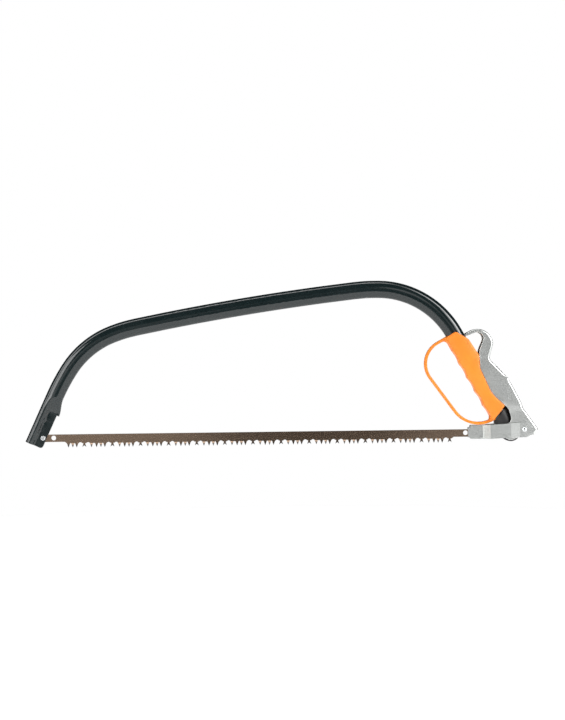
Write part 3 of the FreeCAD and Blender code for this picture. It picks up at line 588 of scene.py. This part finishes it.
@dataclass(frozen=True)
class TurnedSteel(Finish):
    """Turned or headed steel: screws, rivets, washers and bushes."""

    tone: tuple = srgb(0.86, 0.875, 0.88)
    stain: tuple = srgb(0.6, 0.6, 0.59)
    rough: float = 0.24

    def make(self) -> bpy.types.Material:
        """Return the material."""
        material, bench, shader = self.begin()
        rubbing = {"Reach": 0.3 * MM, "Breakup": 600.0, "Amount": 0.8}
        wear = self.effects.use(bench, Effect.EDGE_WEAR, rubbing)
        marks = self.effects.use(bench, Effect.HANDLING, {"Size": 240.0, "Amount": 1.0})
        lines = self.effects.use(bench, Effect.SCRATCHES, {"Turn": (0.3, 0.4, 0.0), "Amount": 0.4})
        tone = bench.blend(bench.math("MULTIPLY", marks.outputs["Mask"], 0.5), self.tone, self.stain)
        bench.feed(shader.inputs["Base Color"], bench.blend(wear.outputs["Mask"], tone, self.tone))
        rough = bench.math("MULTIPLY_ADD", marks.outputs["Mask"], 0.16, self.rough)
        bench.feed(shader.inputs["Roughness"], rough)
        bench.feed(shader.inputs["Normal"], self.bump(bench, lines.outputs["Mask"], 0.2, 0.02 * MM))
        shader.inputs["Metallic"].default_value = 1.0
        return material


# ---------------------------------------------------------------- pieces
@dataclass
class Piece:
    """One finished piece made from a CAD node's mesh.

    Attributes:
        node: the CAD node that it stands for.
        body: the body that it rides on.
        slot: its material slot.
        easing: width of its eased edges.
        sharp: smallest turn of an edge that is eased, in degrees.
        bend: smallest turn between two flat sides that shows as a line, in degrees.
        flat_side: how squarely a flat side faces the saw's side.
        weld: distance within which loose corners are joined.
        level: largest turn between triangles of one flat, in degrees.
        facets: facets across an eased edge.
    """

    node: str
    body: Body
    slot: Slot
    easing: float = 0.15 * MM
    sharp: float = 38.0
    bend: float = 38.0
    flat_side: float = 0.5
    weld: float = 0.004 * MM
    level: float = 0.6
    facets: int = 2

    def merged(self) -> bmesh.types.BMesh:
        """Copy the CAD mesh, with its loose triangles joined and its flats cleaned.

        Returns:
            The joined mesh.
        """
        mesh = bmesh.new()
        mesh.from_mesh(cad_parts[self.node].data)
        bmesh.ops.remove_doubles(mesh, verts=mesh.verts, dist=self.weld)
        bmesh.ops.dissolve_limit(
            mesh, angle_limit=math.radians(self.level), verts=mesh.verts, edges=mesh.edges, delimit=set()
        )
        return mesh

    def creases(self, mesh: bmesh.types.BMesh) -> list[bmesh.types.BMEdge]:
        """Return the edges that turn more sharply than the piece's limit."""
        limit = math.radians(self.sharp)
        return [e for e in mesh.edges if len(e.link_faces) == 2 and e.calc_face_angle() > limit]

    def shape(self, mesh: bmesh.types.BMesh) -> None:
        """Ease every sharp edge.

        Args:
            mesh: the joined copy of the CAD mesh.
        """
        bmesh.ops.bevel(
            mesh, geom=self.creases(mesh), offset=self.easing, offset_type="OFFSET", affect="EDGES",
            segments=self.facets, profile=0.5, material=-1, clamp_overlap=True,
        )

    def finish(self, mesh: bmesh.types.BMesh, material: bpy.types.Material) -> bpy.types.Object:
        """Turn a mesh into a shown piece.

        Args:
            mesh: the shaped mesh.
            material: its finish.

        Returns:
            The new object.
        """
        for face in mesh.faces:
            face.smooth = True
            face.material_index = 0
        for edge in mesh.edges:
            if len(edge.link_faces) == 2:
                flat = all(abs(face.normal.y) > self.flat_side for face in edge.link_faces)
                edge.smooth = edge.calc_face_angle() < math.radians(self.bend if flat else self.sharp)
        data = bpy.data.meshes.new(f"{self.node}_finished")
        mesh.to_mesh(data)
        mesh.free()
        if "custom_normal" in data.attributes:
            data.attributes.remove(data.attributes["custom_normal"])
        made = bpy.data.objects.new(f"{self.node}_finished", data)
        bpy.context.scene.collection.objects.link(made)
        data.materials.append(material)
        self.even_out(made)
        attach(made, self.body.value)
        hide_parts(self.node)
        return made

    def even_out(self, made: bpy.types.Object) -> None:
        """Add the modifiers of the piece.

        Args:
            made: the new object.
        """
        weighted = made.modifiers.new("even_normals", "WEIGHTED_NORMAL")
        weighted.keep_sharp = True

    def build(self, material: bpy.types.Material) -> bpy.types.Object:
        """Make the piece.

        Args:
            material: its finish.

        Returns:
            The new object.
        """
        mesh = self.merged()
        self.shape(mesh)
        return self.finish(mesh, material)


@dataclass
class PressedLever(Piece):
    """The tension lever: pressed channel with a broad rounding between its web and its cheeks.

    Attributes:
        fold: width of the rounding.
        web: least width of the web.
        tip_share: share of the rounding that is left at the hook's tip.
        tip_run: length over which it narrows to the tip.
        fold_facets: facets across the rounding.
    """

    fold: float = 2.8 * MM
    web: float = 18.0 * MM
    tip_share: float = 0.3
    tip_run: float = 14.0 * MM
    fold_facets: int = 6

    def folds(self, mesh: bmesh.types.BMesh) -> list[bmesh.types.BMEdge]:
        """Find the outer edges between the web and the cheeks.

        Args:
            mesh: the joined copy of the CAD mesh.

        Returns:
            The edges.
        """
        found = []
        for edge in self.creases(mesh):
            spans = [[corner.co.y for corner in face.verts] for face in edge.link_faces]
            wide = max(max(span) - min(span) for span in spans) > self.web
            if edge.is_convex and wide and min(abs(corner.co.y) for corner in edge.verts) > self.web / 2:
                found.append(edge)
        return found

    def shape(self, mesh: bmesh.types.BMesh) -> None:
        """Mark the folds of the channel for rounding, narrowing towards the hook's tip.

        Args:
            mesh: the joined copy of the CAD mesh.
        """
        marks = mesh.edges.layers.float.new("bevel_weight_edge")
        folds = self.folds(mesh)
        upper = [corner.co for edge in folds for corner in edge.verts if corner.co.z > 0]
        tip = min(upper, key=lambda spot: spot.x)
        for edge in folds:
            centre = (edge.verts[0].co + edge.verts[1].co) / 2
            share = min(1.0, (centre - tip).xz.length / self.tip_run)
            edge[marks] = self.tip_share + (1.0 - self.tip_share) * share

    def even_out(self, made: bpy.types.Object) -> None:
        """Round the folds and ease the cut edges, then add the piece's own modifiers.

        Args:
            made: the new object.
        """
        for edge, mark in zip(made.data.edges, made.data.attributes["bevel_weight_edge"].data):
            if mark.value > 0:
                edge.use_edge_sharp = False
        rounding = made.modifiers.new("folds", "BEVEL")
        rounding.limit_method = "WEIGHT"
        rounding.width = self.fold
        rounding.segments = self.fold_facets
        rounding.use_clamp_overlap = False
        cut = made.modifiers.new("cut_edges", "BEVEL")
        cut.limit_method = "ANGLE"
        cut.angle_limit = math.radians(self.sharp)
        cut.width = self.easing
        cut.segments = self.facets
        cut.use_clamp_overlap = False
        super().even_out(made)


@dataclass
class MouldedGrip(Piece):
    """The grip with its knuckle guard: one moulding, round at every edge.

    Attributes:
        grid: spacing of the even skin laid over the plain shape.
        rounding_passes: passes that round the edges.
        fairing_passes: pairs of passes that even out the skin without shrinking it.
        pull: share of the way to its neighbours' middle that a pass moves a corner.
        push: share that the second pass of a pair moves it back.
    """

    grid: float = 0.8 * MM
    rounding_passes: int = 7
    fairing_passes: int = 36
    pull: float = 0.5
    push: float = -0.53

    def skin(self, mesh: bmesh.types.BMesh) -> bmesh.types.BMesh:
        """Lay an even skin over a closed mesh.

        Args:
            mesh: the plain shape.

        Returns:
            The skin.
        """
        data = bpy.data.meshes.new("grip_blank")
        mesh.to_mesh(data)
        mesh.free()
        blank = bpy.data.objects.new("grip_blank", data)
        bpy.context.scene.collection.objects.link(blank)
        remesh = blank.modifiers.new("skin", "REMESH")
        remesh.mode = "VOXEL"
        remesh.voxel_size = self.grid
        shaped = bpy.data.meshes.new_from_object(blank.evaluated_get(bpy.context.evaluated_depsgraph_get()))
        bpy.data.objects.remove(blank)
        skin = bmesh.new()
        skin.from_mesh(shaped)
        return skin

    def build(self, material: bpy.types.Material) -> bpy.types.Object:
        """Make the piece.

        Args:
            material: its finish.

        Returns:
            The new object.
        """
        mesh = self.skin(self.merged())
        for factor in [self.pull] * self.rounding_passes + [self.pull, self.push] * self.fairing_passes:
            bmesh.ops.smooth_vert(
                mesh, verts=mesh.verts, factor=factor, use_axis_x=True, use_axis_y=True, use_axis_z=True
            )
        return self.finish(mesh, material)


# ---------------------------------------------------------------- sub-assemblies
@dataclass
class FinishSet:
    """Every finish of the saw, made once."""

    effects: EffectLibrary = field(default_factory=EffectLibrary)

    def make(self) -> dict[Slot, bpy.types.Material]:
        """Make the finishes.

        Returns:
            The material of each slot.
        """
        low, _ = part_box("blade")
        gullet = middle("blade_screw").z - GULLET_DEPTH
        finishes = {
            Slot.TUBE_PAINT: GlossPaint("black_gloss_paint", self.effects),
            Slot.GRIP_PLASTIC: MouldedPlastic("orange_moulding", self.effects),
            Slot.CAP_PLASTIC: MouldedPlastic(
                "black_moulding", self.effects, colour=srgb(0.16, 0.15, 0.155), shade=srgb(0.13, 0.13, 0.13),
                rubbed=srgb(0.3, 0.3, 0.3), rough=0.36, glow=0.0,
            ),
            Slot.ZINC_SHEET: ZincSheet("zinc_plated_sheet", self.effects, turn=(0.0, REAR_LEG_ANGLE, 0.0)),
            Slot.BLADE_STEEL: BladeLacquer("brown_lacquered_strip", self.effects, gullet=gullet, tips=low.z),
            Slot.BRIGHT_STEEL: TurnedSteel("bright_steel", self.effects),
            Slot.BUSH_STEEL: TurnedSteel(
                "plain_steel", self.effects, tone=srgb(0.62, 0.62, 0.61), rough=0.36
            ),
        }
        return {slot: finish.make() for slot, finish in finishes.items()}


@dataclass
class SubAssembly:
    """A group of pieces that share a body or a task."""

    title: ClassVar[str]
    kept: ClassVar[dict[str, Slot]] = {}

    def pieces(self) -> list[Piece]:
        """Return the pieces that are finished here."""
        raise NotImplementedError

    def build(self, materials: dict[Slot, bpy.types.Material]) -> None:
        """Make and dress every piece.

        Args:
            materials: the material of each slot.
        """
        for node, slot in self.kept.items():
            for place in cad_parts[node].material_slots:
                place.link = "OBJECT"
                place.material = materials[slot]
            log.info("%s: %s dressed in %s", self.title, node, slot.value)
        for piece in self.pieces():
            made = piece.build(materials[piece.slot])
            log.info("%s: %s made, %d faces", self.title, made.name, len(made.data.polygons))


@dataclass
class BowFrame(SubAssembly):
    """The tube with its cap, bush, washers and blade screw.

    Attributes:
        cap_edge: easing of the moulded cap.
        turned_edge: easing of the bush and the screw's head.
        washer_edge: easing of the washers.
        nut_edge: easing of the nut.
    """

    title: ClassVar[str] = "bow frame"
    kept: ClassVar[dict[str, Slot]] = {"frame_tube": Slot.TUBE_PAINT}
    cap_edge: float = 0.4 * MM
    turned_edge: float = 0.2 * MM
    washer_edge: float = 0.1 * MM
    nut_edge: float = 0.3 * MM

    def pieces(self) -> list[Piece]:
        """Return the frame's finished pieces."""
        body = Body.FRAME
        return [
            Piece("end_cap", body, Slot.CAP_PLASTIC, easing=self.cap_edge),
            Piece("fulcrum_bush", body, Slot.BUSH_STEEL, easing=self.turned_edge),
            Piece("fulcrum_washers", body, Slot.BUSH_STEEL, easing=self.washer_edge),
            Piece("blade_screw", body, Slot.BRIGHT_STEEL, easing=self.turned_edge),
            Piece("blade_screw_washer", body, Slot.BRIGHT_STEEL, easing=self.washer_edge),
            Piece("blade_screw_nut", body, Slot.BRIGHT_STEEL, easing=self.nut_edge),
        ]


@dataclass
class HandGrip(SubAssembly):
    """The moulded grip with its guard."""

    title: ClassVar[str] = "hand grip"

    def pieces(self) -> list[Piece]:
        """Return the grip."""
        return [MouldedGrip("handle_grip", Body.FRAME, Slot.GRIP_PLASTIC)]


@dataclass
class TensionGear(SubAssembly):
    """The lever and the link that pull the blade tight.

    Attributes:
        sheet_edge: easing of the cut edges of the pressed sheet.
        sheet_bend: smallest fold of the sheet that shows as a line, in degrees.
        rivet_edge: easing of the rivets.
        washer_edge: easing of the spacer and the washers.
    """

    title: ClassVar[str] = "tension gear"
    sheet_edge: float = 0.3 * MM
    sheet_bend: float = 4.0
    rivet_edge: float = 0.2 * MM
    washer_edge: float = 0.1 * MM

    def pieces(self) -> list[Piece]:
        """Return the lever and the link with their rivets."""
        sheet = {"easing": self.sheet_edge, "bend": self.sheet_bend}
        return [
            PressedLever("tension_lever", Body.LEVER, Slot.ZINC_SHEET, **sheet),
            Piece("fulcrum_rivet", Body.LEVER, Slot.BRIGHT_STEEL, easing=self.rivet_edge),
            Piece("link_spacer", Body.LEVER, Slot.BUSH_STEEL, easing=self.washer_edge),
            Piece("stirrup", Body.LINK, Slot.ZINC_SHEET, **sheet),
            Piece("link_rivet", Body.LINK, Slot.BRIGHT_STEEL, easing=self.rivet_edge),
            Piece("link_washers", Body.LINK, Slot.BRIGHT_STEEL, easing=self.washer_edge),
        ]


@dataclass
class SawBlade(SubAssembly):
    """The toothed blade.

    Attributes:
        ground_edge: easing of the blade's back, holes and teeth.
    """

    title: ClassVar[str] = "saw blade"
    ground_edge: float = 0.08 * MM

    def pieces(self) -> list[Piece]:
        """Return the blade."""
        return [Piece("blade", Body.BLADE, Slot.BLADE_STEEL, easing=self.ground_edge)]


# ---------------------------------------------------------------- studio
@dataclass(frozen=True)
class Panel:
    """One screen or lamp of the room, far away, with soft edges.

    Each place is given in degrees, as seen from the saw: where it starts, where it is full, where it
    stops being full and where it ends.

    Attributes:
        level: its brightness.
        side: its place from left to right of straight ahead.
        height: its place from below to above.
        spread: its place away from straight ahead, in any direction.
    """

    level: float
    side: tuple[float, float, float, float] = (-200.0, -199.0, 199.0, 200.0)
    height: tuple[float, float, float, float] = (-101.0, -100.0, 100.0, 101.0)
    spread: tuple[float, float, float, float] = (-2.0, -1.0, 181.0, 182.0)


@dataclass
class Studio:
    """Pale floor, soft light and the camera.

    Attributes:
        drop: floor below the saw.
        reach: radius of the floor.
        distance: camera in front of the saw's middle plane.
        seen: height of the view at that plane.
        roll: turn of the camera about its own axis, in degrees.
        aim: middle of the view, across and up.
        room: brightness of the room.
        panels: the screens and lamps of the room; each one covers those before it.
        glow: the floor's own light.
        box_size: width and height of a softbox.
        box_power: power of a softbox, in watts.
    """

    drop: float = 0.24
    reach: float = 1.5
    distance: float = 2.0
    seen: float = 0.994
    roll: float = 0.735
    aim: tuple[float, float] = (0.0035, 0.0063)
    room: float = 1.1
    panels: tuple = (
        # dark above, dark behind, dark far to the right
        Panel(0.03, height=(6.0, 12.0, 100.0, 101.0)),
        Panel(0.04, spread=(110.0, 122.0, 181.0, 182.0), height=(-8.0, -4.0, 100.0, 101.0)),
        Panel(0.04, side=(62.0, 76.0, 199.0, 200.0), height=(-8.0, -4.0, 100.0, 101.0)),
        # arched lamp overhead; on the right a dark screen covers it, with a brighter arch nearer
        Panel(6.0, spread=(65.0, 69.0, 76.0, 80.0), height=(8.0, 16.0, 100.0, 101.0)),
        Panel(
            0.03, side=(26.0, 50.0, 199.0, 200.0), height=(-4.0, 0.0, 100.0, 101.0),
            spread=(60.0, 66.0, 181.0, 182.0),
        ),
        Panel(
            11.0, side=(26.0, 50.0, 199.0, 200.0), height=(2.0, 10.0, 100.0, 101.0),
            spread=(50.0, 55.0, 63.0, 68.0),
        ),
        # grey card straight ahead, a dark strip on it, and a small pale card above on the right
        Panel(0.36, side=(-14.0, -10.0, 11.0, 15.0), height=(-30.0, -20.0, 7.0, 10.0)),
        Panel(0.05, side=(-3.6, -2.4, 4.2, 6.4), height=(-30.0, -20.0, 7.0, 10.0)),
        Panel(1.5, side=(4.0, 6.5, 14.0, 17.0), height=(9.0, 11.0, 20.0, 24.0)),
    )
    glow: float = 0.62
    box_size: tuple[float, float] = (0.8, 1.2)
    box_power: float = 14.0

    def floor(self) -> None:
        """Add the pale round floor."""
        mesh = bmesh.new()
        bmesh.ops.create_circle(mesh, cap_ends=True, segments=96, radius=self.reach)
        bmesh.ops.translate(mesh, verts=mesh.verts, vec=(0.0, 0.0, CAD_BOX[0].z - self.drop))
        data = bpy.data.meshes.new("floor")
        mesh.to_mesh(data)
        mesh.free()
        made = bpy.data.objects.new("floor", data)
        bpy.context.scene.collection.objects.link(made)
        material = bpy.data.materials.new("pale_floor")
        material.use_nodes = True
        bench = NodeBench(material.node_tree)
        shader = material.node_tree.nodes["Principled BSDF"]
        tone = bench.blend(bench.noise(bench.place(), 3.0), (0.93, 0.93, 0.93, 1.0), (0.96, 0.96, 0.96, 1.0))
        bench.feed(shader.inputs["Base Color"], tone)
        shader.inputs["Roughness"].default_value = 0.9
        shader.inputs["Emission Color"].default_value = (1.0, 1.0, 1.0, 1.0)
        shader.inputs["Emission Strength"].default_value = self.glow
        data.materials.append(material)

    def surroundings(self) -> None:
        """Add the room: pale, with the dark screens and the lamps that the panels give."""
        world = bpy.data.worlds.new("studio")
        world.use_nodes = True
        world.node_tree.nodes.clear()
        bench = NodeBench(world.node_tree)
        way = bench.add("ShaderNodeTexCoord").outputs["Generated"]
        parts = bench.add("ShaderNodeSeparateXYZ", {0: way})
        ahead = bench.math("MULTIPLY", parts.outputs["Y"], -1.0)
        side = bench.math("DEGREES", bench.math("ARCTAN2", parts.outputs["X"], ahead))
        height = bench.math("DEGREES", bench.math("ARCSINE", parts.outputs["Z"]))
        spread = bench.math("DEGREES", bench.math("ARCCOSINE", ahead))

        def band(value: object, edges: tuple) -> bpy.types.NodeSocket:
            """Return 1 between a soft rise and a soft fall."""
            rise = bench.ramp(value, *edges[:2])
            return bench.math("MULTIPLY", rise, bench.ramp(value, *edges[2:], 1.0, 0.0))

        level = self.room
        for panel in self.panels:
            across = bench.math("MULTIPLY", band(side, panel.side), band(height, panel.height))
            share = bench.math("MULTIPLY", across, band(spread, panel.spread))
            mixed = bench.add("ShaderNodeMix", {0: share, 2: level, 3: panel.level}, data_type="FLOAT")
            level = mixed.outputs[0]
        seen = bench.add("ShaderNodeLightPath").outputs["Is Camera Ray"]
        light = bench.add("ShaderNodeBackground", {"Strength": level})
        backdrop = bench.add("ShaderNodeBackground", {"Strength": 1.0, "Color": (1.0, 1.0, 1.0, 1.0)})
        both = bench.add("ShaderNodeMixShader", {0: seen, 1: light.outputs[0], 2: backdrop.outputs[0]})
        bench.add("ShaderNodeOutputWorld", {"Surface": both.outputs[0]})
        bpy.context.scene.world = world

    def softbox(self, name: str, place: tuple[float, float, float]) -> None:
        """Add one rectangular light aimed at the saw.

        Args:
            name: the light's name.
            place: where it stands.
        """
        data = bpy.data.lights.new(name, "AREA")
        data.shape = "RECTANGLE"
        data.size, data.size_y = self.box_size
        data.energy = self.box_power
        made = bpy.data.objects.new(name, data)
        made.location = place
        made.rotation_euler = (-Vector(place)).to_track_quat("-Z", "Y").to_euler()
        bpy.context.scene.collection.objects.link(made)

    def camera(self) -> None:
        """Add the camera, square to the saw's flat side and slightly rolled."""
        data = bpy.data.cameras.new("camera")
        data.sensor_width = 36.0
        data.lens = data.sensor_width * self.distance / self.seen
        made = bpy.data.objects.new("camera", data)
        made.location = (self.aim[0], -self.distance, self.aim[1])
        made.rotation_euler = (math.radians(90.0), math.radians(self.roll), 0.0)
        bpy.context.scene.collection.objects.link(made)
        bpy.context.scene.camera = made

    def build(self) -> None:
        """Set up the floor, the light and the camera."""
        self.camera()
        self.floor()
        self.surroundings()
        self.softbox("left_softbox", (-1.5, -1.3, 0.35))
        self.softbox("right_softbox", (1.6, -1.2, 0.45))
        bpy.context.scene.view_settings.view_transform = "Standard"


def main() -> None:
    """Build the saw, then the studio."""
    logging.basicConfig(level=logging.INFO, format="%(name)s %(message)s")
    materials = FinishSet().make()
    for assembly in (BowFrame(), HandGrip(), TensionGear(), SawBlade()):
        assembly.build(materials)
    Studio().build()


if __name__ == "__main__":
    main()
